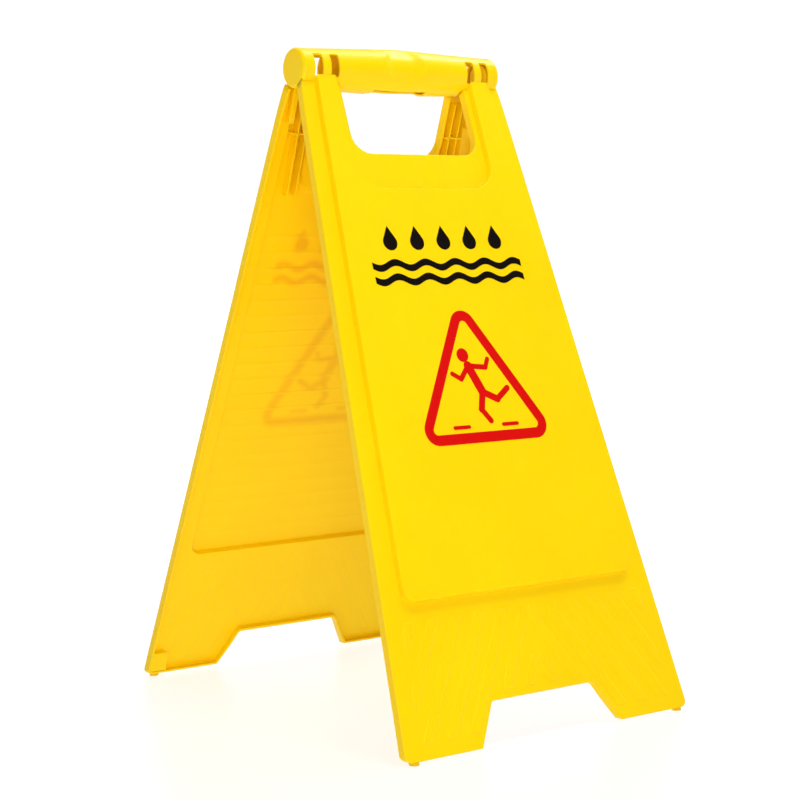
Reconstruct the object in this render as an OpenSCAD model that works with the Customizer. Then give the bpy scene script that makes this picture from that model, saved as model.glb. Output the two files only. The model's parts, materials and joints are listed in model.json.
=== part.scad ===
// Folding A-frame floor sign: two moulded panels that hinge inside a grip barrel.
// Rest pose is open. X runs across the sign, the front panel faces -Y, Z is up
// and Z = 0 is the floor. Each panel is drawn flat in its own plane: u across,
// s down the slope from the hinge axis, and "level" outwards from that axis.

/* [Sign] */
// Height from the floor to the top of the hinge barrel at its ends
sign_h = 560; // [540:5:580]
// Width across the bottom of a panel
foot_w = 295; // [285:5:305]
// Width across the hinge barrel
barrel_w = 208; // [204:2:214]
// Lean of each open panel from upright, in degrees
lean = 20; // [18:1:22]

/* [Panel] */
// Thickness of the moulded walls
wall = 2.5; // [2:0.1:3]
// Distance of the rim face from the hinge axis
rim_level = 8.5; // [8:0.1:9]
// How far the printed field stands above the rim
field_rise = 5; // [3:0.5:6]
// Half width of the field at the hinge axis
field_top = 91.7; // [90:0.1:93]
// Half width of the field at its bottom edge
field_bottom = 121.7; // [115:0.1:125]
// Distance of the field's bottom edge from the hinge axis
field_end = 459; // [450:1:465]
// Radius of the field's bottom corners
field_round = 12; // [6:1:20]
// Radius of the panel's bottom corners
corner_round = 6; // [3:1:8]
// Height of the chevron grip strips
chevron_rise = 0.5; // [0.3:0.1:1]
// Spacing of the chevron strips, measured across the sign
chevron_step = 23.3; // [22:0.1:26]

/* [Hand hole] */
// Half width of the hand hole
hole_half = 66; // [60:1:66]
// Distance of the hole's bottom edge from the hinge axis
hole_end = 79; // [74:1:84]
// Radius of the hole's bottom corners
hole_round = 17.5; // [10:0.5:20]
// Half width of the sunk border round the hole
border_half = 70; // [69.5:0.5:71]
// Distance of the sunk border's bottom edge from the hinge axis
border_end = 110; // [105:1:120]
// Radius of the sunk border's bottom corners
border_round = 22; // [15:1:25]

/* [Grip barrel] */
// Outside radius of the barrel at its ends
barrel_r = 16.5; // [16:0.1:16.6]
// How much the barrel swells towards its middle
barrel_swell = 3.5; // [1:0.5:4]
// Radius of the barrel's end discs
disc_r = 17; // [17:0.1:17.4]
// Wall of the barrel
barrel_wall = 2.2; // [2:0.1:2.6]
// Half angle of the mould slot under the grip, in degrees
slot_half = 8; // [5:1:15]
// Half width of the finger notch in the slot
notch_half = 28; // [20:1:35]
// Half angle of the finger notch, in degrees
notch_angle = 30; // [20:1:40]
// Half width of the thumb scoop on the grip's front
scoop_half = 19.5; // [15:0.5:24]
// Depth of the thumb scoop
scoop_depth = 1.2; // [0.5:0.1:1.4]

/* [Hinge] */
// Radius of each hinge pin
pin_r = 4; // [3.5:0.1:5]
// Radial clearance between a pin and the lug that turns on it
pin_gap = 0.05; // [0.03:0.01:0.09]
// Thickness of the barrel's end discs
disc_w = 5; // [4:0.5:5.5]
// Thickness of each hinge lug
lug_w = 5.5; // [4:0.5:5.5]
// Outside radius of each hinge lug
lug_r = 11.5; // [9:0.5:11.5]
// Clearance between parts that pass each other
pass_gap = 0.4; // [0.3:0.05:0.6]

/* [Feet] */
// Radius of each foot stud
foot_r = 4; // [3:0.5:4]
// Height of each foot stud below the panel
foot_h = 2.5; // [2:0.5:4]
// Distance of each foot stud from the panel's outer edge
foot_inset = 9.5; // [8:0.5:12]

/* [Printed marks] */
// Thickness of the printed marks
print_h = 0.3; // [0.2:0.05:0.4]
// Width of the row of drops
drop_row_w = 125; // [110:1:130]
// Height of a drop
drop_h = 21.5; // [18:0.5:24]
// Width of the wavy bands
wave_w = 157; // [140:1:165]
// Width of the warning triangle
triangle_w = 128; // [120:1:135]
// Line width of the warning triangle
triangle_line = 9; // [7:0.5:10]

/* [Hidden] */

YELLOW = "#fdd817";
BLACK = "#1c120c";
RED = "#ec1f22";

axis_z = sign_h - disc_r;
mid_gap = 0.3;                                  // panel's inner edge to the closing plane
field_level = rim_level + field_rise;
panel_end = (axis_z + rim_level * sin(lean) - foot_h) / cos(lean);
side_slope = (foot_w - barrel_w) / 2 / (panel_end - corner_round);
barrel_in = barrel_r - barrel_wall / 2;         // the panels stop inside the tube's wall
wrap = 2 * lean;                                // barrel covers this far below the back panel's normal
skirt = 72;                                     // and this far below the front panel's
disc_in = barrel_w / 2 - disc_w;                // inner face of an end disc
lug_out = disc_in - 0.5;                        // outer face of a hinge lug
lug_in = lug_out - lug_w;
window_rows = [[68, 76], [84, 92]];             // windows beside each strap of the barrel
window_top = -6.7;
window_end = 11;
strip_w = chevron_step * cos(30) / 2;
cut_top = 543;                                  // foot cut-out
cut_half = 54;
cut_slope = 19 / 35;
chevron_start = 472;
rib_h = 10;
arc_steps = 8;
big = 400;

// ---- outlines --------------------------------------------------------------

function at(u, s) = [u, -s];
function unit(v) = v / norm(v);
function half_w(s) = barrel_w / 2 + side_slope * s;
function field_half(s) = field_top + (field_bottom - field_top) * s / field_end;

// Closes a right-hand half outline, given from top to bottom, with its mirror image.
function both_sides(p) = concat(p, [for (i = [len(p) - 1:-1:0]) [-p[i][0], p[i][1]]]);

// Points of the arc that rounds corner b between neighbours a and c.
function corner(a, b, c, r) =
    r <= 0 ? [b] :
    let (to_a = unit(a - b), to_c = unit(c - b))
    let (half = acos(to_a * to_c) / 2)
    let (o = b + unit(to_a + to_c) * r / sin(half))
    let (start = b + to_a * r / tan(half) - o, end = b + to_c * r / tan(half) - o)
    let (turn = atan2(start[0] * end[1] - start[1] * end[0], start * end))
    [for (k = [0:arc_steps]) let (t = turn * k / arc_steps)
        o + [start[0] * cos(t) - start[1] * sin(t), start[0] * sin(t) + start[1] * cos(t)]];

function rounded(p, r) =
    let (n = len(p))
    [for (i = [0:n - 1]) each corner(p[(i + n - 1) % n], p[i], p[(i + 1) % n], r[i])];

// A symmetric outline, rounded: half outline p and one radius for each of its points.
function outline(p, r) = rounded(both_sides(p), concat(r, [for (i = [len(r) - 1:-1:0]) r[i]]));

module panel_outline(inset) {
    polygon(outline([at(half_w(0) - inset, 0), at(half_w(panel_end) - inset, panel_end - inset)],
                    [0, corner_round - inset]));
}

module hole_outline(grow) {
    polygon(outline([at(hole_half + grow, -1), at(hole_half + grow, hole_end + grow)],
                    [0, hole_round + grow]));
}

module border_outline(grow) {
    polygon(outline([at(border_half + grow, -1), at(border_half + grow, border_end + grow)],
                    [0, border_round + grow]));
}

module field_outline(inset) {
    polygon(outline([at(field_half(0) - inset, 0), at(field_half(field_end) - inset, field_end - inset)],
                    [0, field_round - inset]));
}

module cut_outline(grow) {
    side = grow * sqrt(1 + cut_slope * cut_slope);
    reach = panel_end + 6;
    polygon(outline([at(cut_half + side - cut_slope * grow, cut_top - grow),
                     at(cut_half + side + cut_slope * (reach - cut_top), reach)],
                    [4, 0]));
}

module raised_outline(inset) {
    difference() {
        field_outline(inset);
        border_outline(inset);
    }
}

// ---- placing ---------------------------------------------------------------

// Puts a panel drawn round its own hinge axis into the open sign.
module front_side() {
    translate([0, 0, axis_z]) rotate([-lean, 0, 0]) children();
}

module back_side() {
    rotate([0, 0, 180]) front_side() children();
}

// Extrudes a flat outline from one level to another, outwards.
module slab(from, to) {
    translate([0, -from, 0]) rotate([90, 0, 0]) linear_extrude(to - from) children();
}

// A bar along X, from u0 to u1 on both ends of the sign.
module on_both_ends() {
    children();
    mirror([1, 0, 0]) children();
}

module x_cylinder(r, x0, x1) {
    translate([x0, 0, 0]) rotate([0, 90, 0]) cylinder(r = r, h = x1 - x0, $fn = 96);
}

// Cuts everything below the given height above the floor.
module above(height) {
    difference() {
        children();
        translate([-big, -big, height - big]) cube([2 * big, 2 * big, big]);
    }
}

// ---- moulded panel ---------------------------------------------------------

module chevron_zone() {
    edge = 15;
    low = panel_end - 12;
    polygon([at(3, chevron_start), at(half_w(chevron_start) - edge, chevron_start),
             at(half_w(low) - edge, low), at(cut_half + cut_slope * (low - cut_top) + 6, low),
             at(cut_half + 3, cut_top - 6), at(3, cut_top - 6)]);
}

module chevrons() {
    slab(rim_level - wall / 2, rim_level + chevron_rise)
        intersection() {
            chevron_zone();
            for (i = [-2:5])
                translate(at(i * chevron_step, chevron_start))
                    rotate(30)
                        translate([-strip_w / 2, -150])
                            square([strip_w, 200]);
        }
}

module channel_ribs() {
    for (u = [76, 84.5])
        translate([u, -field_level + wall / 2, -border_end - 4])
            cube([1.6, rib_h, border_end - 22]);
    translate([border_half + wall / 2, -field_level + wall / 2, -58])
        cube([field_half(58) - border_half - wall, rib_h, 1.6]);
}

module corner_boss() {
    size = 2 * (foot_inset + 1);
    slab(mid_gap, rim_level)
        intersection() {
            panel_outline(0);
            translate(at(half_w(panel_end) - size, panel_end + 1)) square([size, 22]);
        }
}

module panel_body() {
    difference() {
        union() {
            slab(mid_gap, rim_level)
                difference() {
                    panel_outline(0);
                    hole_outline(0);
                    cut_outline(0);
                }
            slab(rim_level - wall, field_level) raised_outline(0);
        }
        slab(-1, rim_level - wall)
            difference() {
                panel_outline(wall);
                hole_outline(wall);
                cut_outline(wall);
            }
        slab(-1, field_level - wall) raised_outline(wall);
    }
    on_both_ends() {
        chevrons();
        channel_ribs();
        corner_boss();
    }
}

module foot_bores() {
    on_both_ends()
        foot_axis() translate([0, 0, -1]) cylinder(r = foot_r - 1.6, h = 9, $fn = 48);
}

// Runs up the slope from the right-hand foot stud's place at the panel's bottom edge.
module foot_axis() {
    translate([foot_w / 2 - foot_inset, -(mid_gap + rim_level) / 2, -panel_end + 1]) children();
}

module panel_moulding() {
    difference() {
        panel_body();
        foot_bores();
    }
}

// ---- grip barrel -----------------------------------------------------------

function tube_r(x) = barrel_r + barrel_swell * (1 - x / (barrel_w / 2));

// A sector of the space round the barrel, from angle a0 to a1, x0 to x1 along it.
// Angles run from straight back, over the top, to the front and on underneath.
module sector(a0, a1, x0, x1) {
    reach = 3 * barrel_r;
    translate([x0, 0, 0]) rotate([90, 0, 90]) linear_extrude(x1 - x0)
        polygon([[0, 0], for (k = [0:4]) let (a = a0 + (a1 - a0) * k / 4) reach * [cos(a), sin(a)]]);
}

// Half of the swelling tube, from its middle to its end disc.
module half_tube() {
    end = disc_in + 1;
    crest = tube_r(0);
    tip = tube_r(end);
    wall = barrel_wall;
    rotate([0, 90, 0])
        rotate_extrude($fn = 96)
            polygon([[crest - wall, 0], [crest, 0], [tip, end], [tip - wall, end]]);
}

module windows() {
    for (row = window_rows)
        for (face = [0, 1])
            mirror([0, face, 0]) rotate([-lean, 0, 0])
                translate([row[0], -2 * barrel_r, -window_end])
                    cube([row[1] - row[0], 2 * barrel_r - 5, window_end - window_top]);
}

// Shallow round thumb rest on the front of the grip's crown.
module thumb_scoop() {
    rise = tube_r(0) - scoop_depth;
    scoop_r = (pow(scoop_half, 2) + pow(scoop_depth, 2)) / (2 * scoop_depth);
    rotate([60, 0, 0]) translate([0, 0, rise + scoop_r]) sphere(r = scoop_r, $fn = 96);
}

module barrel() {
    open_from = 180 - lean + skirt;
    difference() {
        on_both_ends() half_tube();
        on_both_ends() {
            sector(open_from, 360 - wrap + lean, hole_half - 0.8, disc_in);
            sector(270 - slot_half, 270 + slot_half, -1, hole_half);
            sector(270 - notch_angle, 270 + notch_angle, -1, notch_half);
            windows();
        }
        thumb_scoop();
    }
    on_both_ends() x_cylinder(disc_r, disc_in, barrel_w / 2);
}

// ---- hinge lugs ------------------------------------------------------------

// Sector of a ring round the hinge axis, between two angles below the panel's normal.
module ring_sector(r0, r1, a0, a1, x0, x1) {
    steps = 10;
    outer = [for (k = [0:steps]) let (a = a0 + (a1 - a0) * k / steps) [-r1 * cos(a), -r1 * sin(a)]];
    inner = [for (k = [steps:-1:0]) let (a = a0 + (a1 - a0) * k / steps) [-r0 * cos(a), -r0 * sin(a)]];
    translate([x0, 0, 0]) rotate([90, 0, 90]) linear_extrude(x1 - x0) polygon(concat(outer, inner));
}

module lugs() {
    on_both_ends() {
        difference() {
            union() {
                x_cylinder(lug_r, lug_in, lug_out);
                translate([lug_in, -rim_level, -48]) cube([lug_w, rim_level - mid_gap, 48]);
                ring_sector(lug_r - 1, barrel_r + 1, wrap + 1.2, wrap + 35, lug_in, lug_out);
            }
            x_cylinder(pin_r + pin_gap, lug_in - 1, lug_out + 1);
        }
    }
}

// ---- printed marks ---------------------------------------------------------

// A round-ended bar from a to b.
module limb(a, b, w) {
    run = b - a;
    aim = atan2(run[1], run[0]);
    polygon([for (end = [0, 1], k = [0:8])
        let (t = aim + 180 * end - 90 + 180 * k / 8)
            (end == 0 ? b : a) + w / 2 * [cos(t), sin(t)]]);
}

// A drop: a pointed top that runs tangent into a round bottom.
module drop() {
    r = drop_h * 0.33;
    reach = drop_h - r;
    tangent = acos(r / reach);
    polygon(concat([[0, reach]],
                   [for (k = [0:24]) let (t = 90 - tangent - (360 - 2 * tangent) * k / 24) r * [cos(t), sin(t)]]));
}

module drops() {
    count = 5;
    pitch = (drop_row_w - 2 * drop_h * 0.33) / (count - 1);
    for (i = [0:count - 1])
        translate(at((i - (count - 1) / 2) * pitch, 167.4 - drop_h * 0.33)) drop();
}

module waves() {
    swing = 2.5;
    line = 6;
    steps = 72;
    for (s = [180.5, 193])
        polygon(concat(
            [for (k = [0:steps]) at(wave_w * (k / steps - 0.5), s - line / 2 + swing * sin(k * 25))],
            [for (k = [steps:-1:0]) at(wave_w * (k / steps - 0.5), s + line / 2 + swing * sin(k * 25))]));
}

module legend() {
    drops();
    waves();
}

// An equilateral outline whose rounded corners just reach its stated width.
module rounded_triangle(half_base, base, r) {
    apex = base - half_base * sqrt(3);
    polygon(rounded([at(0, apex), at(half_base, base), at(-half_base, base)], [r, r, r]));
}

module triangle() {
    base = 336;
    round = 13;
    half_base = triangle_w / 2 + round * (sqrt(3) - 1);
    difference() {
        rounded_triangle(half_base, base, round);
        rounded_triangle(half_base - triangle_line * sqrt(3), base - triangle_line, round - triangle_line);
    }
}

// A plain stick figure that slips backwards between two ripples.
module figure() {
    neck = at(-5, 270);
    hip = at(4, 293);
    translate(at(-8, 260.5)) circle(r = 6, $fn = 40);
    limb(neck, hip, 8.5);
    limb(neck, at(13, 272), 4.6);
    limb(at(13, 272), at(17, 265), 4.2);
    limb(neck, at(-15, 281), 4.6);
    limb(at(-15, 281), at(-23, 276), 4.2);
    limb(hip, at(18, 300), 6.2);
    limb(at(18, 300), at(31, 291), 5.2);
    limb(hip, at(-1, 308), 6.2);
    limb(at(-1, 308), at(6, 318), 5.2);
    for (u = [-33, 18])
        limb(at(u, 322), at(u + 15, 322), 3.2);
}

module printed(colour) {
    color(colour) slab(field_level, field_level + print_h) children();
}

// ---- nodes -----------------------------------------------------------------

module front_panel() {
    color(YELLOW)
        difference() {
            union() {
                above(foot_h) front_side()
                    difference() {
                        panel_moulding();
                        x_cylinder(barrel_in, -big, big);
                    }
                translate([0, 0, axis_z]) barrel();
            }
            translate([0, 0, axis_z]) on_both_ends() x_cylinder(pin_r, disc_in - 1, barrel_w / 2 - 1.5);
        }
}

module back_panel() {
    color(YELLOW) {
        above(foot_h) back_side()
            difference() {
                panel_moulding();
                x_cylinder(tube_r(hole_half) + pass_gap, -big, big);
            }
        back_side() lugs();
    }
}

module left_hinge_pin() {
    color(YELLOW) translate([0, 0, axis_z]) mirror([1, 0, 0]) x_cylinder(pin_r, lug_in - 1.5, barrel_w / 2 - 1.5);
}

module right_hinge_pin() {
    color(YELLOW) translate([0, 0, axis_z]) x_cylinder(pin_r, lug_in - 1.5, barrel_w / 2 - 1.5);
}

// A stud with a head on the floor and a shank pressed up into the panel's corner.
module foot() {
    above(0) front_side()
        foot_axis() translate([0, 0, -7]) cylinder(r = foot_r - 1.6, h = 14, $fn = 48);
    difference() {
        above(0) front_side() foot_axis() translate([0, 0, -7]) cylinder(r = foot_r, h = 10, $fn = 48);
        translate([-big, -big, foot_h]) cube([2 * big, 2 * big, big]);
    }
}

module front_right_foot() {
    color(YELLOW) foot();
}

module front_left_foot() {
    color(YELLOW) mirror([1, 0, 0]) foot();
}

module back_left_foot() {
    color(YELLOW) mirror([1, 0, 0]) mirror([0, 1, 0]) foot();
}

module back_right_foot() {
    color(YELLOW) mirror([0, 1, 0]) foot();
}

module front_legend() {
    front_side() printed(BLACK) legend();
}

module front_triangle() {
    front_side() printed(RED) triangle();
}

module front_figure() {
    front_side() printed(RED) figure();
}

module back_legend() {
    back_side() printed(BLACK) legend();
}

module back_triangle() {
    back_side() printed(RED) triangle();
}

module back_figure() {
    back_side() printed(RED) figure();
}

front_panel();
back_panel();
left_hinge_pin();
right_hinge_pin();
front_left_foot();
front_right_foot();
back_left_foot();
back_right_foot();
front_legend();
front_triangle();
front_figure();
back_legend();
back_triangle();
back_figure();
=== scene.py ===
"""Looks of the folding wet floor sign: two moulded yellow trays hinged in a grip barrel.

Everything is drawn in millimetres in each panel's own plane: u across, s down the slope
from the hinge axis, level outwards from that axis. place_panel() puts it into the row frame.
"""

import json
import math

import bmesh
import bpy
import numpy as np
from mathutils import Matrix, Vector
from mathutils.geometry import delaunay_2d_cdt


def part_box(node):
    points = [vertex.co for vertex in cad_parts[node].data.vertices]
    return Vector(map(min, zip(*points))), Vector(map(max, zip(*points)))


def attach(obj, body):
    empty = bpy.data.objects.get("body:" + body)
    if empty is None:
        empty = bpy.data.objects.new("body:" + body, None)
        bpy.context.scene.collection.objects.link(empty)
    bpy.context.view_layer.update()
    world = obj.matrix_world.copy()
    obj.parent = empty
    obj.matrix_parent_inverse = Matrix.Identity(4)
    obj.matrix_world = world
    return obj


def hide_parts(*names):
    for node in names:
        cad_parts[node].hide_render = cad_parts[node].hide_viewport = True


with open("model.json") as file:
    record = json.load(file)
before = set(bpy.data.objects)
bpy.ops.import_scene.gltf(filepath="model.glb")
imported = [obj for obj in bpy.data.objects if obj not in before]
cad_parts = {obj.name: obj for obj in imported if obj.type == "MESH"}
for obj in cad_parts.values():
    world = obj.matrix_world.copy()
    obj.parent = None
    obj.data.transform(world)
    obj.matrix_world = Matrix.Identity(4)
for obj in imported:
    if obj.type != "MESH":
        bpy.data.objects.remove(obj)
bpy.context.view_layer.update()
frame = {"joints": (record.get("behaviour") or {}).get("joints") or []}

MM = 0.001
JOINT = frame["joints"][0]
AXIS_Z = JOINT["pos_m"][2] / MM
LEAN = math.radians(JOINT["range_deg"][1] / 2)
COS, SIN = math.cos(LEAN), math.sin(LEAN)

# ---- sizes taken from the frame --------------------------------------------

DISC_SKIN = 1.5
HALF_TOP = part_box("right_hinge_pin")[1].x / MM + DISC_SKIN
HALF_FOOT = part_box("front_panel")[1].x / MM
FOOT_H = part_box("front_panel")[0].z / MM
FOOT_LOW, FOOT_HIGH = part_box("front_right_foot")
FOOT_U = (FOOT_LOW.x + FOOT_HIGH.x) / 2 / MM
FOOT_R = (FOOT_HIGH.x - FOOT_LOW.x) / 2 / MM
PIN_LOW, PIN_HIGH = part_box("right_hinge_pin")
PIN_IN, PIN_OUT = PIN_LOW.x / MM, PIN_HIGH.x / MM
PIN_R = (PIN_HIGH.z - PIN_LOW.z) / 2 / MM
MARK_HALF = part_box("front_triangle")[1].x / MM
WAVE_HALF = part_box("front_legend")[1].x / MM

# ---- sizes of the moulding -------------------------------------------------

WALL = 2.5
GAP = 0.3  # from a panel's inner edge to the plane the two close on
RIM = 8.5
RISE = 5.0
FIELD = RIM + RISE
BARREL_R, BARREL_WALL, SWELL = 16.5, 2.2, 3.5
DISC_IN, DISC_R = HALF_TOP - 5.0, 17.0
HOLE_HALF, HOLE_END, HOLE_ROUND = 66.0, 79.0, 17.5
BORDER_HALF, BORDER_END, BORDER_ROUND = 70.0, 110.0, 22.0
FIELD_TOP, FIELD_BOTTOM, FIELD_END = 91.7, 121.7, 459.0
CUT_HALF, CUT_TOP, CUT_SLOPE = 54.0, 543.0, 19 / 35
CHEVRON_RISE, CHEVRON_DENT, CHEVRON_STEP, CHEVRON_START = 0.5, 0.4, 23.3, 472.0
STEP_RUN, STRIP_RUN = 1.9, 1.4
INNER_SHIFT = 1.7
MARK_DENT = 0.35
GROOVE_HALF = 0.8
MESH_PITCH = 11.0
FIELD_CORNER = 12.0
CORNER = 6.0
PANEL_END = (AXIS_Z + RIM * SIN - FOOT_H) / COS
SIDE = (HALF_FOOT - HALF_TOP) / (PANEL_END - CORNER)
INK, INK_FOOT = 0.14, 0.05
SHELF = 3.0  # where the raised posts start below the barrel
PRINTED = (88, 138, 345)  # half width, top and bottom of the printed area


def half_width(s):
    return HALF_TOP + SIDE * s


def field_half(s):
    return FIELD_TOP + (FIELD_BOTTOM - FIELD_TOP) * s / FIELD_END


def tube_radius(x):
    """The barrel swells to its middle and meets its end discs in a soft flare."""
    flare = smooth((np.abs(x) - DISC_IN + 7) / 7)
    swell = SWELL * (1 - np.sqrt(np.square(x) + 36.0) / HALF_TOP)
    return (BARREL_R + swell) * (1 - flare) + DISC_R * flare


FRONT_TOP = BARREL_R - BARREL_WALL / 2
BACK_TOP = BARREL_R + SWELL * (1 - HOLE_HALF / HALF_TOP) + 0.45


# ---- 2-D outlines ----------------------------------------------------------

def loop(corners, t=0.0, pitch=12.0, arc=6):
    """Closed outline from corners (x, y, radius[, share]), moved to its left side by t.

    The material lies on the left, so a hole is listed clockwise. share is how much of t the
    edge leaving that corner moves by. The count of points doesn't depend on t.
    """
    p = np.array([c[:2] for c in corners], float)
    share = np.array([c[3] if len(c) > 3 else 1.0 for c in corners])
    along = np.roll(p, -1, 0) - p
    length = np.linalg.norm(along, axis=1)
    along /= length[:, None]
    left = np.stack([-along[:, 1], along[:, 0]], 1)
    parts = []
    for i, c in enumerate(corners):
        reach = [p[i] @ left[i - 1] + t * share[i - 1], p[i] @ left[i] + t * share[i]]
        at = np.linalg.solve(np.array([left[i - 1], left[i]]), reach)
        if not c[2]:
            parts.append(at[None])
            continue
        turn = math.atan2(along[i - 1][0] * along[i][1] - along[i - 1][1] * along[i][0],
                          float(along[i - 1] @ along[i]))
        side = 1.0 if turn > 0 else -1.0
        r = max(c[2] - side * t, 0.05)
        start = at - along[i - 1] * r * math.tan(abs(turn) / 2)
        centre = start + left[i - 1] * side * r
        spoke = start - centre
        a = np.linspace(0, turn, arc + 1)
        parts.append(centre + np.stack([spoke[0] * np.cos(a) - spoke[1] * np.sin(a),
                                        spoke[0] * np.sin(a) + spoke[1] * np.cos(a)], 1))
    out = []
    for i, part in enumerate(parts):
        out.append(part)
        count = int(length[i] / pitch)
        after = parts[(i + 1) % len(parts)][0]
        steps = np.arange(1, count)[:, None] / max(count, 1)
        out.append(part[-1] + (after - part[-1]) * steps)
    return np.concatenate(out)


def mirrored(half):
    """A right-hand half outline, listed from its start to its end, closed by its mirror image."""
    return list(half) + [(-c[0], *c[1:]) for c in reversed(half)]


def inside(loops, pts):
    """True where a point lies within the outlines, counting each crossing."""
    found = np.zeros(len(pts), bool)
    for ring in loops:
        a, b = ring, np.roll(ring, -1, 0)
        for (x0, y0), (x1, y1) in zip(a, b):
            if y0 == y1:
                continue
            hit = (y0 > pts[:, 1]) != (y1 > pts[:, 1])
            found ^= hit & (pts[:, 0] < (x1 - x0) * (pts[:, 1] - y0) / (y1 - y0) + x0)
    return found


def distance(a, b, pts):
    """Distance from each point to the nearest of the segments a-b."""
    best = np.full(len(pts), 1e9)
    for p, q in zip(a, b):
        run = q - p
        size = run @ run
        if size < 1e-12:
            continue
        k = np.clip((pts - p) @ run / size, 0, 1)
        best = np.minimum(best, np.linalg.norm(pts - p - k[:, None] * run, axis=1))
    return best


def depth(ring, pts):
    """Distance to an outline, positive within it."""
    far = distance(ring, np.roll(ring, -1, 0), pts)
    return np.where(inside([ring], pts), far, -far)


def smooth(t):
    t = np.clip(t, 0, 1)
    return t * t * (3 - 2 * t)


def fill(rings, lines=(), points=None, clear=1.5):
    """Triangles within the rings that follow the lines, and keep clear of them elsewhere."""
    paths = [np.concatenate([r, r[:1]]) for r in rings] + list(lines)
    if points is not None and len(points):
        starts = np.concatenate([p[:-1] for p in paths])
        ends = np.concatenate([p[1:] for p in paths])
        points = points[inside(rings, points)]
        points = points[distance(starts, ends, points) > clear]
    verts, edges = [], []
    for path in paths:
        base = len(verts)
        verts += [Vector(p) for p in path]
        edges += [(base + i, base + i + 1) for i in range(len(path) - 1)]
    if points is not None:
        verts += [Vector(p) for p in points]
    found = delaunay_2d_cdt(verts, edges, [], 0, 1e-4)
    flat = np.array([v[:] for v in found[0]], float)
    faces = np.array([f[:] for f in found[2]], int)
    keep = inside(rings, flat[faces].mean(1))
    return flat, faces[keep]


def grid(x0, x1, y0, y1, pitch):
    xs = np.arange(x0 + pitch / 2, x1, pitch)
    ys = np.arange(y0 + pitch / 2, y1, pitch)
    return np.stack(np.meshgrid(xs, ys), -1).reshape(-1, 2)


# ---- building meshes -------------------------------------------------------

class Build:
    """Collects surfaces in millimetres and turns them into one object."""

    def __init__(self):
        self.points, self.faces, self.count = [], [], 0

    def add(self, points, faces):
        self.points.append(np.asarray(points, float))
        self.faces += [tuple(int(i) + self.count for i in f) for f in faces]
        self.count += len(points)

    def add_rings(self, rings):
        """Bands of quads between each closed ring and the next."""
        for a, b in zip(rings, rings[1:]):
            n = len(a)
            self.add(np.concatenate([a, b]), [(i, (i + 1) % n, n + (i + 1) % n, n + i) for i in range(n)])

    def object(self, name, merge=0.008):
        mesh = bpy.data.meshes.new(name)
        mesh.from_pydata((np.concatenate(self.points) * MM).tolist(), [], self.faces)
        bm = bmesh.new()
        bm.from_mesh(mesh)
        bmesh.ops.remove_doubles(bm, verts=bm.verts, dist=merge * MM)
        bmesh.ops.dissolve_degenerate(bm, edges=bm.edges, dist=merge * MM)
        loose = [v for v in bm.verts if not v.link_faces]
        bmesh.ops.delete(bm, geom=loose, context="VERTS")
        bmesh.ops.recalc_face_normals(bm, faces=bm.faces)
        bm.to_mesh(mesh)
        bm.free()
        mesh.polygons.foreach_set("use_smooth", np.ones(len(mesh.polygons), bool))
        obj = bpy.data.objects.new(name, mesh)
        bpy.context.scene.collection.objects.link(obj)
        weigh = obj.modifiers.new("weighted", "WEIGHTED_NORMAL")
        weigh.weight = 60
        return obj


POINT_R = 1e-4  # a ring this small closes a turned shape on its axis


def edge_steps(r, steps=4):
    """Quarter-round from the face (t = r, drop 0) to the wall (t = 0, drop r)."""
    return [(r - r * math.sin(a), r - r * math.cos(a)) for a in np.linspace(0, math.pi / 2, steps + 1)]


def block(build, put, outlines, low, high, r=0.4, pitch=12.0, arc=6):
    """A solid between two levels with rounded edges; outlines after the first are holes."""
    rounding = edge_steps(r, 3)
    profile = [(t, low + d) for t, d in rounding] + [(t, high - d) for t, d in reversed(rounding)]
    for corners in outlines:
        build.add_rings([put(loop(corners, t, pitch, arc), level) for t, level in profile])
    caps = [loop(corners, r, pitch, arc) for corners in outlines]
    flat, faces = fill(caps)
    build.add(put(flat, low), faces)
    build.add(put(flat, high), faces)


def lathe(build, profile, steps):
    """Turns a profile of (distance across the sign, radius) round the hinge axis."""
    a = np.linspace(0, 2 * math.pi, steps, endpoint=False)
    spokes = np.stack([np.zeros(steps), np.cos(a), np.sin(a)], 1)
    build.add_rings([np.array([x, 0, AXIS_Z]) + spokes * max(r, POINT_R) for x, r in profile])


# ---- placing ---------------------------------------------------------------

def slope_point(side, u, s, level):
    """The row-frame point of a place on a panel; side is -1 for the front, 1 for the back."""
    y = level * COS + s * SIN
    z = AXIS_Z + level * SIN - s * COS
    return np.stack([-side * u, side * y, z], -1)


def place_panel(side, top):
    """Placer whose s = 0 edge lies on a cylinder of radius top, and whose foot is level."""
    reach = 50.0
    low = 560.0

    def put(flat, level):
        u, s = flat[:, 0], flat[:, 1]
        level = np.broadcast_to(np.asarray(level, float), s.shape)
        start = np.sqrt(np.maximum(top * top - level * level, 0))
        s = s + start * np.clip(1 - s / reach, 0, 1) ** 2
        end = (AXIS_Z + level * SIN - FOOT_H) / COS
        s = np.where(s > low, low + (s - low) * (end - low) / (PANEL_END - low), s)
        return slope_point(side, u, s, level)

    return put


def plain_panel(side):
    return lambda flat, level: slope_point(
        side, flat[:, 0], flat[:, 1], np.broadcast_to(np.asarray(level, float), len(flat)))


def sideways(side):
    """Placer for an outline in (s, level) that is extruded across the sign."""
    return lambda flat, u: slope_point(
        side, np.broadcast_to(np.asarray(u, float), len(flat)), flat[:, 0], flat[:, 1])


# ---- the moulded panels ----------------------------------------------------

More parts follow.
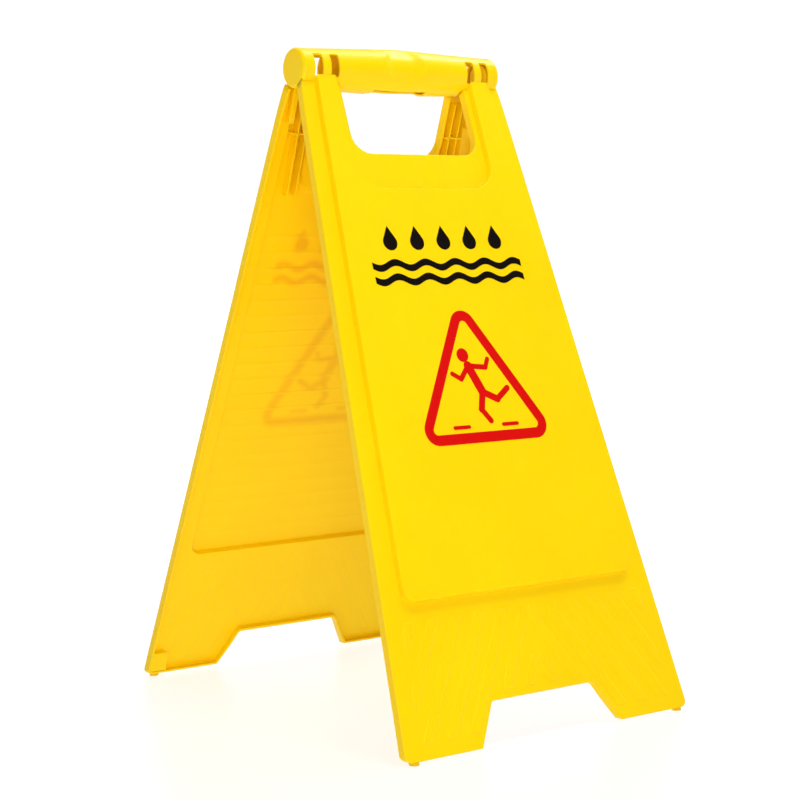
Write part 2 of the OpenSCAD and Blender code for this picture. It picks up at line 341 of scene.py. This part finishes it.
def panel_corners():
    """Panel with its hand hole open at the top; the edges at the barrel move in less."""
    reach = 0.5
    return [
        (HOLE_HALF, HOLE_END, HOLE_ROUND), (HOLE_HALF, 0, 0, reach), (HALF_TOP, 0, 0),
        (half_width(PANEL_END), PANEL_END, CORNER),
        (CUT_HALF + CUT_SLOPE * (PANEL_END - CUT_TOP), PANEL_END, 1.2),
        (CUT_HALF, CUT_TOP, 4.0),
        (-CUT_HALF, CUT_TOP, 4.0),
        (-CUT_HALF - CUT_SLOPE * (PANEL_END - CUT_TOP), PANEL_END, 1.2),
        (-half_width(PANEL_END), PANEL_END, CORNER),
        (-HALF_TOP, 0, 0, reach), (-HOLE_HALF, 0, 0), (-HOLE_HALF, HOLE_END, HOLE_ROUND),
    ]


def field_corners(top):
    """The raised field: two posts beside the hand hole and the printed face below it."""
    return [
        (BORDER_HALF, BORDER_END, BORDER_ROUND), (BORDER_HALF, top, 3.0),
        (field_half(top), top, 3.0), (field_half(FIELD_END), FIELD_END, FIELD_CORNER),
        (-field_half(FIELD_END), FIELD_END, FIELD_CORNER), (-field_half(top), top, 3.0),
        (-BORDER_HALF, top, 3.0), (-BORDER_HALF, BORDER_END, BORDER_ROUND),
    ]


def clip(poly, normal, limit):
    """The part of a convex polygon where normal . p <= limit."""
    out = []
    for i, p in enumerate(poly):
        q = poly[(i + 1) % len(poly)]
        a, b = normal @ p - limit, normal @ q - limit
        if a <= 0:
            out.append(p)
        if a * b < 0:
            out.append(p + (q - p) * a / (a - b))
    return out


def chevron_strips():
    """Outlines of the slanting grip strips on both halves of the foot."""
    half = CHEVRON_STEP / 4
    slope = math.tan(math.radians(30))
    low = PANEL_END - 12
    strips = []
    for i in range(-2, 6):
        x = i * CHEVRON_STEP
        strip = [np.array(p, float) for p in (
            (x - half - 60 * slope, CHEVRON_START - 60), (x + half - 60 * slope, CHEVRON_START - 60),
            (x + half + 150 * slope, CHEVRON_START + 150), (x - half + 150 * slope, CHEVRON_START + 150))]
        strip = clip(strip, np.array([-1.0, 0]), -2.5)
        strip = clip(strip, np.array([0, -1.0]), -CHEVRON_START)
        strip = clip(strip, np.array([1.0, -SIDE]), HALF_TOP - 15)
        strip = clip(strip, np.array([0, 1.0]), CUT_TOP - 6 if i < 1 else low)
        if len(strip) < 3:
            continue
        ring = np.array(strip)
        area = np.sum(ring[:, 0] * np.roll(ring[:, 1], -1) - ring[:, 1] * np.roll(ring[:, 0], -1)) / 2
        if area < 40:
            continue
        strips.append([(p[0], p[1], 2.2) for p in strip])
        strips.append([(-p[0], p[1], 2.2) for p in reversed(strip)])
    return strips


STRIPS = chevron_strips()


def circle(u, s, r, steps=28):
    a = np.linspace(0, 2 * math.pi, steps, endpoint=False)
    return np.stack([u + r * np.cos(a), s + r * np.sin(a)], 1)


def ejector_marks():
    """Round marks left on the inner face by the mould's ejectors."""
    return [(sign * (half_width(s) - 8.2), s) for s in (225.0, 398.0, 531.0) for sign in (-1.0, 1.0)]


def closed(ring):
    return np.concatenate([ring, ring[:1]])


STEP_LINES = [STEP_RUN * k for k in (0, 0.12, 0.27, 0.5, 0.73, 0.88, 1)]


def outer_lines(top):
    """Lines the outer face's mesh follows, so that each step is drawn crisply."""
    lines = [closed(loop(field_corners(top), t)) for t in STEP_LINES]
    for strip in STRIPS:
        lines += [closed(loop(strip, t, 30, 4)) for t in (0, 0.3, 0.7, 1.1, STRIP_RUN)]
    return lines


def inner_lines(top):
    """The same for the inner face, with its ejector marks and grooves."""
    lines = [closed(loop(field_corners(top), t + INNER_SHIFT)) for t in STEP_LINES]
    for strip in STRIPS:
        lines += [closed(loop(strip, t, 30, 4)) for t in (0, 0.35, 0.8, STRIP_RUN)]
    for u, s in ejector_marks():
        lines += [closed(circle(u, s, r)) for r in (3.0, 3.35, 3.7)]
    for s in groove_lines():
        reach = groove_reach(s)
        lines += [np.array([[x, s + k] for x in np.linspace(-reach, reach, 22)])
                  for k in (-GROOVE_HALF, 0, GROOVE_HALF)]
    return lines


def groove_lines():
    """Slope positions of the fine level grooves on the inner face."""
    return np.arange(152.0, 446.0, 15.0)


def groove_reach(s):
    return field_half(s) - 9.0


def outer_level(top, pts):
    """Height of the outer face at each point."""
    level = RIM + RISE * smooth(depth(loop(field_corners(top)), pts) / STEP_RUN)
    near = pts[:, 1] > CHEVRON_START - 4
    for strip in STRIPS:
        lift = smooth(depth(loop(strip, 0, 30, 4), pts[near]) / STRIP_RUN)
        level[near] += CHEVRON_RISE * lift
    return level


def inner_level(top, pts):
    """Height of the inner face at each point."""
    level = RIM - WALL + RISE * smooth((depth(loop(field_corners(top)), pts) - INNER_SHIFT) / STEP_RUN)
    near = pts[:, 1] > CHEVRON_START - 4
    for strip in STRIPS:
        level[near] += CHEVRON_DENT * smooth(depth(loop(strip, 0, 30, 4), pts[near]) / STRIP_RUN)
    for u, s in ejector_marks():
        level -= MARK_DENT * smooth((3.7 - np.hypot(pts[:, 0] - u, pts[:, 1] - s)) / 0.7)
    for s in groove_lines():
        within = np.abs(pts[:, 0]) < groove_reach(s) + 0.01
        level -= MARK_DENT * np.where(within, smooth(1 - np.abs(pts[:, 1] - s) / GROOVE_HALF), 0)
    return level


def panel_mesh(side, name, top, shelf):
    """One tray: outer face, rounded edge, wall, inner face, ribs and bosses."""
    build = Build()
    put = place_panel(side, top)
    corners = panel_corners()
    edge, foot = 1.0, 3.6
    points = grid(-150, 150, 0, PANEL_END, MESH_PITCH)
    flat, faces = fill([loop(corners, edge)], outer_lines(shelf), points)
    build.add(put(flat, outer_level(shelf, flat)), faces)
    profile = [(t, RIM - d) for t, d in edge_steps(edge)]
    profile += [(0, RIM - 3.5), (0, GAP + 0.5)]
    profile += [(t, GAP + d) for t, d in reversed(edge_steps(0.5, 3)[:-1])]
    profile += [(WALL - t, GAP + d) for t, d in edge_steps(0.5, 3)]
    profile += [(WALL, 3.0), (WALL, RIM - WALL - 1.1), (WALL + 0.15, RIM - WALL - 0.65),
                (WALL + 0.45, RIM - WALL - 0.3), (foot, RIM - WALL)]
    build.add_rings([put(loop(corners, t), level) for t, level in profile])
    half, high, low = PRINTED
    fine = grid(-half, half, high, low, 2.4)
    coarse = points[~((abs(points[:, 0]) < half) & (points[:, 1] > high) & (points[:, 1] < low))]
    flat, faces = fill([loop(corners, foot)], inner_lines(shelf), np.concatenate([coarse, fine]), 0.9)
    build.add(put(flat, inner_level(shelf, flat)), faces)
    panel_ribs(build, side)
    return build


def panel_ribs(build, side):
    """Stiffening ribs behind the posts, and the bosses that hold the foot studs."""
    put = plain_panel(side)
    deep = FIELD - WALL / 2
    for sign in (1, -1):
        for u in (76.0, 84.5):
            rib = [(sign * u, 26, 0.6), (sign * (u + 1.6), 26, 0.6),
                   (sign * (u + 1.9), 113, 0.6), (sign * (u + 0.3), 113, 0.6)]
            block(build, put, [rib[::sign]], deep - 10, deep, 0.5, arc=3)
        across = [(sign * 71.5, 56.4, 0.6), (sign * (field_half(58) - 3), 56.4, 0.6),
                  (sign * (field_half(58) - 3), 58, 0.6), (sign * 71.5, 58, 0.6)]
        block(build, put, [across[::sign]], deep - 10, deep, 0.5, arc=3)
        size, clear = 19.0, 1.2
        low = PANEL_END - 5.2
        high = low - size
        wide = half_width(low)
        boss = [(sign * (wide - size), high, 4.0), (sign * (half_width(high) - clear), high, 0.3),
                (sign * (wide - clear), low, 0.3), (sign * (wide - size), low, 0.3)]
        block(build, put, [boss[::sign]], GAP + 0.25, RIM - 1, 0.5, arc=4)


# ---- grip barrel -----------------------------------------------------------

WINDOWS = ((68.0, 76.0), (84.0, 92.0))
SCOOP_R, SCOOP_DEPTH, SCOOP_AT, SCOOP_SQUASH = 20.5, 2.3, 158.0, 1.08
ARC = math.radians(1) * 18.0  # unrolled length of one degree


def tube_corners():
    """The unrolled barrel: x along it, and the angle over its top times a mean radius."""
    skirt_back, skirt_front = -20.0, 232.0
    grip_back, grip_front = -82.0, 262.0
    notch_back, notch_front = -60.0, 240.0
    end = DISC_IN + 0.8
    grip = HOLE_HALF - 0.8
    back = [(28, notch_back, 1.5), (28.6, grip_back, 1.0), (grip, grip_back, 1.0), (grip, skirt_back, 0.8)]
    for x0, x1 in WINDOWS:
        back += [(x0, skirt_back, 0.8), (x0, 43.5, 1.5), (x1, 43.5, 1.5), (x1, skirt_back, 0.8)]
    back += [(end, skirt_back, 0)]
    front = [(end, skirt_front, 0), (grip, skirt_front, 0.8), (grip, grip_front, 1.0),
             (28.6, grip_front, 1.0), (28, notch_front, 1.5)]
    half = [(x, a * ARC, r) for x, a, r in back + front]
    return mirrored(half)


def window_corners():
    """Two closed windows at each end of the barrel's front."""
    a0, a1 = 136.5 * ARC, 206.0 * ARC
    rings = []
    for x0, x1 in WINDOWS:
        for sign in (1, -1):
            ring = [(sign * x, a, 1.6) for x, a in ((x0, a0), (x0, a1), (x1, a1), (x1, a0))]
            rings.append(ring[::sign])
    return rings


def put_tube(flat, drop):
    """Rolls the flat barrel up, drop below its surface, with the thumb scoop pressed in."""
    x, a = flat[:, 0], flat[:, 1] / ARC
    r = tube_radius(x)
    out = np.hypot(x, (a - SCOOP_AT) * ARC * SCOOP_SQUASH)
    dip = SCOOP_DEPTH * smooth((SCOOP_R - out) / 9 + 0.12) * (out < SCOOP_R)
    r = r - drop - dip * (1 - 0.5 * drop / BARREL_WALL)
    a = np.radians(a)
    return np.stack([x, r * np.cos(a), AXIS_Z + r * np.sin(a)], -1)


def barrel_mesh(build):
    """The hollow grip tube with rounded edges and its windows and notches."""
    outlines = [tube_corners()] + window_corners()
    edge = 0.7
    profile = [(t, d) for t, d in edge_steps(edge)]
    profile += [(t, BARREL_WALL - d) for t, d in reversed(edge_steps(edge))]
    for corners in outlines:
        build.add_rings([put_tube(loop(corners, t, 3.0, 4), d) for t, d in profile])
    caps = [loop(corners, edge, 3.0, 4) for corners in outlines]
    points = grid(-101, 101, -85 * ARC, 265 * ARC, 2.0)
    centre = np.array([0, SCOOP_AT * ARC])
    rims = []
    for r in (SCOOP_R - 3, SCOOP_R - 1.5, SCOOP_R - 0.5, SCOOP_R - 0.02, SCOOP_R + 0.1):
        ring = closed(circle(0, 0, r, 64))
        rims.append(ring * [1, 1 / SCOOP_SQUASH] + centre)
    flat, faces = fill(caps, rims, points, 0.7)
    build.add(put_tube(flat, 0), faces)
    build.add(put_tube(flat, BARREL_WALL), faces)


def end_discs(build):
    """Soft-edged discs that close the barrel and hold the hinge pins."""
    soft = 3.0
    for sign in (1, -1):
        rounding = [(HALF_TOP - soft + soft * math.sin(a), DISC_R - soft + soft * math.cos(a))
                    for a in np.linspace(0, math.pi / 2, 8)]
        profile = [(DISC_IN, 0), (DISC_IN, 6), (DISC_IN, 14.0), (DISC_IN - 0.1, 14.8),
                   (DISC_IN - 0.2, 15.6), (DISC_IN - 0.1, DISC_R - 0.15), (DISC_IN + 0.1, DISC_R)]
        profile += rounding + [(HALF_TOP, 9.0), (HALF_TOP, 4.0), (HALF_TOP, 0)]
        lathe(build, [(sign * k, r) for k, r in profile], 96)


# ---- hinge lugs ------------------------------------------------------------

LUG_OUT, LUG_IN, LUG_R = DISC_IN - 0.5, DISC_IN - 6.0, 11.5


def ring_points(r, a0, a1, steps):
    return [(r * math.cos(math.radians(a)), r * math.sin(math.radians(a)), 0)
            for a in np.linspace(a0, a1, steps)]


def hinge_lugs(build, side):
    """Eyes that turn on the pins, their webs down the posts, and the stop that meets the barrel."""
    meet = math.degrees(math.atan2(RIM, math.sqrt(LUG_R ** 2 - RIM ** 2)))
    eye = ring_points(LUG_R, meet, 358.0, 44)
    outline = [(48, GAP, 0), (48, RIM - 0.6, 0)] + eye
    bore = ring_points(PIN_R + 0.05, 360, 0, 41)[:-1]
    stop = ring_points(LUG_R - 1, 15, 48.5, 8) + ring_points(BARREL_R + 1, 48.5, 15, 8)
    for sign in (1, -1):
        ends = sorted((sign * LUG_IN, sign * LUG_OUT))
        block(build, sideways(side), [outline, bore], *ends, 0.4, 6.0)
        block(build, sideways(side), [stop[::-1]], *ends, 0.3, 6.0)


# ---- small pieces ----------------------------------------------------------

def hinge_pin(name, sign):
    """A stub with a soft nose and a small gate mark on it."""
    build = Build()
    soft = 0.8
    ends = [(soft - soft * math.sin(a), PIN_R - soft + soft * math.cos(a))
            for a in np.linspace(math.pi / 2, 0, 6)]
    profile = [(PIN_IN, 0), (PIN_IN + 0.35, 1.2)]
    profile += [(PIN_IN + 0.35, 1.9), (PIN_IN, 2.3)] + [(PIN_IN + k, r) for k, r in ends]
    profile += [(PIN_IN + 2, PIN_R), (PIN_OUT - 1, PIN_R), (PIN_OUT, PIN_R - 0.6), (PIN_OUT, 0)]
    lathe(build, [(sign * k, r) for k, r in profile], 48)
    return build.object(name)


def foot_stud(name, side, sign):
    """A stud on the floor, with its head cut level and its shank up in the panel's corner."""
    build = Build()
    level = (GAP + RIM) / 2
    profile = [(0.0, 0.0), (0.15, 1.2), (0.15, 1.7), (0.0, 2.1), (0.0, FOOT_R - 0.7),
               (0.12, FOOT_R - 0.3), (0.35, FOOT_R - 0.1), (0.7, FOOT_R), (FOOT_H - 0.25, FOOT_R),
               (FOOT_H - 0.05, FOOT_R - 0.2), (FOOT_H - 0.02, FOOT_R - 1.5), (FOOT_H, 2.4), (9.0, 2.4),
               (9.6, 1.9), (9.7, 0)]
    rings = []
    a = np.linspace(0, 2 * math.pi, 48, endpoint=False)
    for z, r in profile:
        out = level + max(r, POINT_R) * np.sin(a)
        s = (AXIS_Z + out * SIN - z) / COS
        rings.append(slope_point(side, sign * FOOT_U + max(r, POINT_R) * np.cos(a), s, out))
    build.add_rings(rings)
    return build.object(name)


# ---- printed marks ---------------------------------------------------------

def limb(a, b, w, steps=12):
    """A round-ended bar of width w."""
    a, b = np.array(a, float), np.array(b, float)
    aim = math.atan2(b[1] - a[1], b[0] - a[0])
    t = np.linspace(-math.pi / 2, math.pi / 2, steps)
    tip = b + w / 2 * np.stack([np.cos(aim + t), np.sin(aim + t)], 1)
    tail = a + w / 2 * np.stack([np.cos(aim + math.pi + t), np.sin(aim + math.pi + t)], 1)
    return np.concatenate([tip, tail])


def drops():
    """A row of five falling drops."""
    count, high, row = 5, 21.5, 125.0
    r = high * 0.33
    reach = high - r
    tangent = math.acos(r / reach)
    pitch = (row - 2 * r) / (count - 1)
    shapes = []
    for i in range(count):
        a = np.linspace(math.pi / 2 - tangent, tangent - 1.5 * math.pi, 40)
        ring = np.concatenate([[[0, reach]], np.stack([r * np.cos(a), r * np.sin(a)], 1)])
        shapes.append(ring * [1, -1] + [(i - (count - 1) / 2) * pitch, 167.4 - r])
    return shapes


def waves():
    """Two wavy bands of water below the drops."""
    swing, line, cycles, count = 2.5, 6.0, 5, 145
    x = np.linspace(-WAVE_HALF, WAVE_HALF, count)
    bend = swing * np.sin(np.linspace(0, cycles * 2 * math.pi, count))
    shapes = []
    for s in (180.5, 193.0):
        upper = np.stack([x, s - line / 2 + bend], 1)
        lower = np.stack([x, s + line / 2 + bend], 1)
        shapes.append(np.concatenate([upper, lower[::-1]]))
    return shapes


def triangle_rings():
    """Outer and inner outline of the round-cornered triangle."""
    base, turn, line = 336.0, 13.0, 9.0
    half = MARK_HALF + turn * (math.sqrt(3) - 1)
    rings = []
    for h, b, r in ((half, base, turn), (half - line * math.sqrt(3), base - line, turn - line)):
        rings.append(loop([(0, b - h * math.sqrt(3), r), (h, b, r), (-h, b, r)], 0, 400, 14))
    return rings


def figure():
    """A slipping figure and two dashes of floor."""
    neck, hip = (-5, 270), (4, 293)
    a = np.linspace(0, 2 * math.pi, 40, endpoint=False)
    head = np.stack([-8 + 6 * np.cos(a), 260.5 + 6 * np.sin(a)], 1)
    shapes = [head, limb(neck, hip, 8.5), limb(neck, (13, 272), 4.6), limb((13, 272), (17, 265), 4.2),
              limb(neck, (-15, 281), 4.6), limb((-15, 281), (-23, 276), 4.2),
              limb(hip, (18, 300), 6.2), limb((18, 300), (31, 291), 5.2),
              limb(hip, (-1, 308), 6.2), limb((-1, 308), (6, 318), 5.2)]
    return shapes + [limb((u, 322), (u + 15, 322), 3.2) for u in (-33, 18)]


def ink(name, side, shapes, holes=()):
    """A thin printed film: the union of the shapes, less the holes, on the raised field."""
    verts, edges = [], []
    for ring in list(shapes) + list(holes):
        base = len(verts)
        verts += [Vector(p) for p in ring]
        edges += [(base + i, base + (i + 1) % len(ring)) for i in range(len(ring))]
    found = delaunay_2d_cdt(verts, edges, [], 0, 1e-4)
    flat = np.array([v[:] for v in found[0]], float)
    faces = np.array([f[:] for f in found[2]], int)
    centre = flat[faces].mean(1)
    keep = np.zeros(len(faces), bool)
    for ring in shapes:
        keep |= inside([ring], centre)
    for ring in holes:
        keep &= ~inside([ring], centre)
    faces = faces[keep]
    seen = {}
    for f in faces:
        for i in range(3):
            pair = (f[i], f[(i + 1) % 3])
            seen[tuple(sorted(pair))] = None if tuple(sorted(pair)) in seen else pair
    put = plain_panel(side)
    build = Build()
    build.add(put(flat, FIELD + INK), faces)
    build.add(put(flat, FIELD - INK_FOOT), faces)
    for pair in seen.values():
        if pair:
            ends = flat[list(pair)]
            wall = np.concatenate([put(ends, FIELD + INK), put(ends, FIELD - INK_FOOT)])
            build.add(wall, [(0, 1, 3, 2)])
    obj = build.object(name, 0.002)
    obj.modifiers.clear()
    obj.data.polygons.foreach_set("use_smooth", np.zeros(len(obj.data.polygons), bool))
    return obj


def coverage(shapes, pts):
    """How much a blurred print hides at each point, from 0 to 1."""
    best = np.zeros(len(pts))
    for ring in shapes:
        best = np.maximum(best, smooth(0.5 + depth(ring, pts) / (2 * BLUR)))
    return best


BLUR = 2.6


def paint_print_shade(obj, side):
    """Stores on the inner face the painted shade that the print on the other face would cast through the
    translucent plastic.
    """
    co = np.zeros(len(obj.data.vertices) * 3)
    obj.data.vertices.foreach_get("co", co)
    co = co.reshape(-1, 3) / MM
    y, z = side * co[:, 1], co[:, 2] - AXIS_Z
    level, s = y * COS + z * SIN, y * SIN - z * COS
    u = -side * co[:, 0]
    value = np.zeros(len(co))
    near = (level < FIELD - 1) & (s > 138) & (s < 350) & (abs(u) < 92)
    pts = np.stack([u[near], s[near]], 1)
    outer, inner = triangle_rings()
    band = np.maximum(smooth(0.5 + depth(outer, pts) / 5) - smooth(0.5 + depth(inner, pts) / 5), 0)
    red = 0.75 * np.maximum(band, coverage(figure(), pts))
    dark = np.maximum(coverage(drops() + waves(), pts), red)
    value[near] = dark
    layer = obj.data.attributes.new("print_behind", "FLOAT", "POINT")
    layer.data.foreach_set("value", value.astype(np.float32))


# ---- materials -------------------------------------------------------------

def linear(r, g, b):
    """A colour given as 0-255 display values."""
    return [((c / 255 + 0.055) / 1.055) ** 2.4 if c > 10 else c / 255 / 12.92 for c in (r, g, b)] + [1]


def set_range(node, *numbers):
    """From low, from high, to low and to high of a Map Range node."""
    for key, number in zip(("From Min", "From Max", "To Min", "To Max"), numbers):
        node.inputs[key].default_value = number


class Nodes:
    """A new node material, with short ways to add and join its nodes."""

    def __init__(self, name):
        self.material = bpy.data.materials.new(name)
        self.material.use_nodes = True
        self.tree = self.material.node_tree
        self.shader = self.tree.nodes["Principled BSDF"]
        self.where = self.tree.nodes.new("ShaderNodeTexCoord").outputs["Object"]

    def new(self, kind, **settings):
        node = self.tree.nodes.new("ShaderNode" + kind)
        for key, value in settings.items():
            setattr(node, key, value)
        return node

    def link(self, a, b):
        self.tree.links.new(a, b)

    def noise(self, scale, detail=4.0, rough=0.5):
        node = self.new("TexNoise")
        node.inputs["Scale"].default_value = scale
        node.inputs["Detail"].default_value = detail
        node.inputs["Roughness"].default_value = rough
        self.link(self.where, node.inputs["Vector"])
        return node.outputs["Fac"]

    def ranged(self, value, low, high, to_low, to_high):
        node = self.new("MapRange")
        set_range(node, low, high, to_low, to_high)
        self.link(value, node.inputs["Value"])
        return node.outputs["Result"]

    def mix(self, factor, a, b):
        node = self.new("Mix", data_type="RGBA")
        self.link(factor, node.inputs[0])
        for socket, value in ((node.inputs[6], a), (node.inputs[7], b)):
            if isinstance(value, list):
                socket.default_value = value
            else:
                self.link(value, socket)
        return node.outputs[2]

    def bump(self, height, strength, run):
        node = self.new("Bump")
        node.inputs["Strength"].default_value = strength
        node.inputs["Distance"].default_value = run
        self.link(height, node.inputs["Height"])
        self.link(node.outputs["Normal"], self.shader.inputs["Normal"])

    def set(self, **values):
        for key, value in values.items():
            self.shader.inputs[key.replace("_", " ")].default_value = value


def plastic(name, light, deep, rough, with_print_shade=False):
    """Satin polypropylene: faint colour drift, uneven gloss, fine moulded grain; with the flag set,
    painted shade where the print on the other face blocks light through the plastic.
    """
    n = Nodes(name)
    drift = n.ranged(n.noise(9.0, 2.0), 0.35, 0.65, 0, 1)
    colour = n.mix(drift, light, deep)
    if with_print_shade:
        # painted shade: the inner face turns deeper orange where the print on the outer face would block
        # light passing through the translucent plastic
        behind = n.new("Attribute", attribute_name="print_behind").outputs["Fac"]
        colour = n.mix(n.ranged(behind, 0, 1, 0, 0.36), colour, linear(214, 120, 0))
    n.link(colour, n.shader.inputs["Base Color"])
    gloss = n.ranged(n.noise(60.0, 5.0, 0.6), 0.3, 0.7, rough - 0.05, rough + 0.07)
    n.link(gloss, n.shader.inputs["Roughness"])
    n.bump(n.noise(1500.0, 3.0, 0.6), 0.12, 0.00012)
    n.set(IOR=1.49, Specular_IOR_Level=0.16, Subsurface_Weight=0.3, Subsurface_Scale=0.0016)
    n.shader.inputs["Subsurface Radius"].default_value = (1.0, 0.5, 0.04)
    return n.material


def print_ink(name, light, deep, rough):
    """Screen-printed ink: near-flat colour with a trace of mottle and pinholes."""
    n = Nodes(name)
    mottle = n.ranged(n.noise(420.0, 4.0, 0.6), 0.35, 0.7, 0, 1)
    n.link(n.mix(mottle, light, deep), n.shader.inputs["Base Color"])
    gloss = n.ranged(n.noise(150.0, 3.0), 0.3, 0.7, rough - 0.06, rough + 0.08)
    n.link(gloss, n.shader.inputs["Roughness"])
    n.bump(n.noise(1800.0, 2.0), 0.1, 0.0001)
    n.set(IOR=1.48, Specular_IOR_Level=0.07)
    return n.material


def floor_material():
    """A pale studio floor that glows to white away from the sign."""
    n = Nodes("studio_floor")
    tone = n.ranged(n.noise(1.5, 2.0), 0.3, 0.7, 0, 1)
    n.link(n.mix(tone, [0.16, 0.158, 0.155, 1], [0.18, 0.178, 0.175, 1]), n.shader.inputs["Base Color"])
    n.link(n.ranged(n.noise(4.0, 2.0), 0.3, 0.7, 0.28, 0.34), n.shader.inputs["Roughness"])
    away = n.new("VectorMath", operation="LENGTH")
    n.link(n.where, away.inputs[0])
    n.link(n.ranged(away.outputs["Value"], 0.4, 1.6, 0.78, 1.0), n.shader.inputs["Emission Strength"])
    n.shader.inputs["Emission Color"].default_value = (1, 1, 1, 1)
    n.set(IOR=1.3)
    return n.material


# ---- putting it together ---------------------------------------------------

def finish_piece(obj, body, node, slot, material):
    obj.data.materials.append(material)
    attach(obj, body)
    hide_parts(node)


def build_sign():
    # the tray yellow carries painted shade from the print on the other face
    yellow = plastic("yellow_plastic", linear(254, 212, 2), linear(253, 208, 1), 0.33, with_print_shade=True)
    pin = plastic("pin_plastic", linear(246, 205, 4), linear(240, 196, 2), 0.3)
    # painted shade: the studs are a darker, mustard yellow than the trays, standing in for the shadow they
    # sit in at the panel feet
    stud = plastic("foot_plastic", linear(240, 196, 20), linear(228, 180, 14), 0.5)
    black = print_ink("black_print", linear(8, 2, 0), linear(16, 8, 4), 0.5)
    red = print_ink("red_print", linear(214, 10, 6), linear(206, 8, 4), 0.5)
    front = panel_mesh(-1, "front_tray", FRONT_TOP, SHELF)
    barrel_mesh(front)
    end_discs(front)
    tray = front.object("front_tray")
    # painted shade of the print on the outer face, stored on the front tray's inner face
    paint_print_shade(tray, -1)
    finish_piece(tray, "front_frame", "front_panel", "yellow_plastic", yellow)
    back = panel_mesh(1, "back_tray", BACK_TOP, SHELF)
    hinge_lugs(back, 1)
    tray = back.object("back_tray")
    # painted shade of the print on the outer face, stored on the back tray's inner face
    paint_print_shade(tray, 1)
    finish_piece(tray, "back_frame", "back_panel", "yellow_plastic", yellow)
    for word, sign in (("left", -1), ("right", 1)):
        stub = hinge_pin(word + "_pin", sign)
        finish_piece(stub, "front_frame", word + "_hinge_pin", "pin_plastic", pin)
    for side, panel in ((-1, "front"), (1, "back")):
        for word, sign in (("left", -1), ("right", 1)):
            foot = foot_stud(f"{panel}_{word}_stud", side, -side * sign)
            finish_piece(foot, panel + "_frame", f"{panel}_{word}_foot", "foot_plastic", stud)
        marks = (("legend", drops() + waves(), (), "black_print", black),
                 ("triangle", triangle_rings()[:1], triangle_rings()[1:], "red_print", red),
                 ("figure", figure(), (), "red_print", red))
        for word, shapes, holes, slot, material in marks:
            mark = ink(f"{panel}_{word}_ink", side, shapes, holes)
            finish_piece(mark, panel + "_frame", f"{panel}_{word}", slot, material)


# ---- studio ----------------------------------------------------------------

CAMERA_AT = (-990.6, -1353.8, 389.7)
CAMERA_AZ, CAMERA_EL, CAMERA_ROLL = -36.243, 4.437, -0.834
CAMERA_LENS = 86.4


def camera():
    az, el, roll = (math.radians(a) for a in (CAMERA_AZ, CAMERA_EL, CAMERA_ROLL))
    back = Vector((math.sin(az) * math.cos(el), -math.cos(az) * math.cos(el), math.sin(el)))
    right = Vector((0, 0, 1)).cross(back).normalized()
    up = back.cross(right)
    turned = math.cos(roll) * right + math.sin(roll) * up
    lifted = math.cos(roll) * up - math.sin(roll) * right
    data = bpy.data.cameras.new("camera")
    data.lens, data.sensor_width = CAMERA_LENS, 36.0
    data.clip_start, data.clip_end = 0.05, 60.0
    obj = bpy.data.objects.new("camera", data)
    bpy.context.scene.collection.objects.link(obj)
    turn = Matrix((turned, lifted, back)).transposed()
    obj.matrix_world = Matrix.Translation(Vector(CAMERA_AT) * MM) @ turn.to_4x4()
    bpy.context.scene.camera = obj


def area_light(name, at, aim, size, power):
    data = bpy.data.lights.new(name, "AREA")
    data.shape, data.size, data.energy = "SQUARE", size, power
    obj = bpy.data.objects.new(name, data)
    obj.location = at
    obj.rotation_mode = "QUATERNION"
    obj.rotation_quaternion = (Vector(aim) - Vector(at)).to_track_quat("-Z", "Y")
    bpy.context.scene.collection.objects.link(obj)


def studio_world():
    """White near the horizon behind the sign, dimmer above and in front, and a bright overhead."""
    world = bpy.data.worlds.new("studio")
    world.use_nodes = True
    tree = world.node_tree
    direction = tree.nodes.new("ShaderNodeTexCoord").outputs["Generated"]
    height = tree.nodes.new("ShaderNodeSeparateXYZ")
    tree.links.new(direction, height.inputs[0])
    ramp = tree.nodes.new("ShaderNodeValToRGB")
    tree.links.new(height.outputs["Z"], ramp.inputs[0])
    stops = ((0.0, 0.42), (0.16, 0.42), (0.3, 0.14), (0.6, 0.16), (0.95, 0.9))
    points = ramp.color_ramp.elements
    while len(points) < len(stops):
        points.new(0.5)
    for point, (at, value) in zip(points, stops):
        point.position, point.color = at, (value, value, value, 1)
    behind = tree.nodes.new("ShaderNodeVectorMath")
    behind.operation = "DOT_PRODUCT"
    behind.inputs[1].default_value = (0.6, 0.8, 0)
    tree.links.new(direction, behind.inputs[0])
    shade = tree.nodes.new("ShaderNodeMapRange")
    set_range(shade, -0.3, 0.6, 0.6, 2.5)
    tree.links.new(behind.outputs["Value"], shade.inputs["Value"])
    sky = tree.nodes["Background"]
    tree.links.new(ramp.outputs["Color"], sky.inputs["Color"])
    tree.links.new(shade.outputs["Result"], sky.inputs["Strength"])
    return world


def studio_floor():
    half, steps = 20.0, 8
    bm = bmesh.new()
    bmesh.ops.create_grid(bm, x_segments=steps, y_segments=steps, size=half)
    mesh = bpy.data.meshes.new("floor")
    bm.to_mesh(mesh)
    bm.free()
    mesh.materials.append(floor_material())
    floor = bpy.data.objects.new("floor", mesh)
    bpy.context.scene.collection.objects.link(floor)


def studio():
    bpy.context.scene.world = studio_world()
    bpy.context.scene.view_settings.view_transform = "Standard"
    middle = (0, 0, 0.28)
    area_light("key", (-0.6, -2.0, 1.0), middle, 0.8, 4)
    area_light("sheen", (1.2, 0.2, 2.0), middle, 0.6, 14)
    area_light("low_fill", (-1.1, -1.5, 0.3), (0, -0.1, 0.1), 0.8, 14)
    area_light("top", (0.15, -0.45, 2.2), middle, 0.4, 15)
    studio_floor()


build_sign()
camera()
studio()
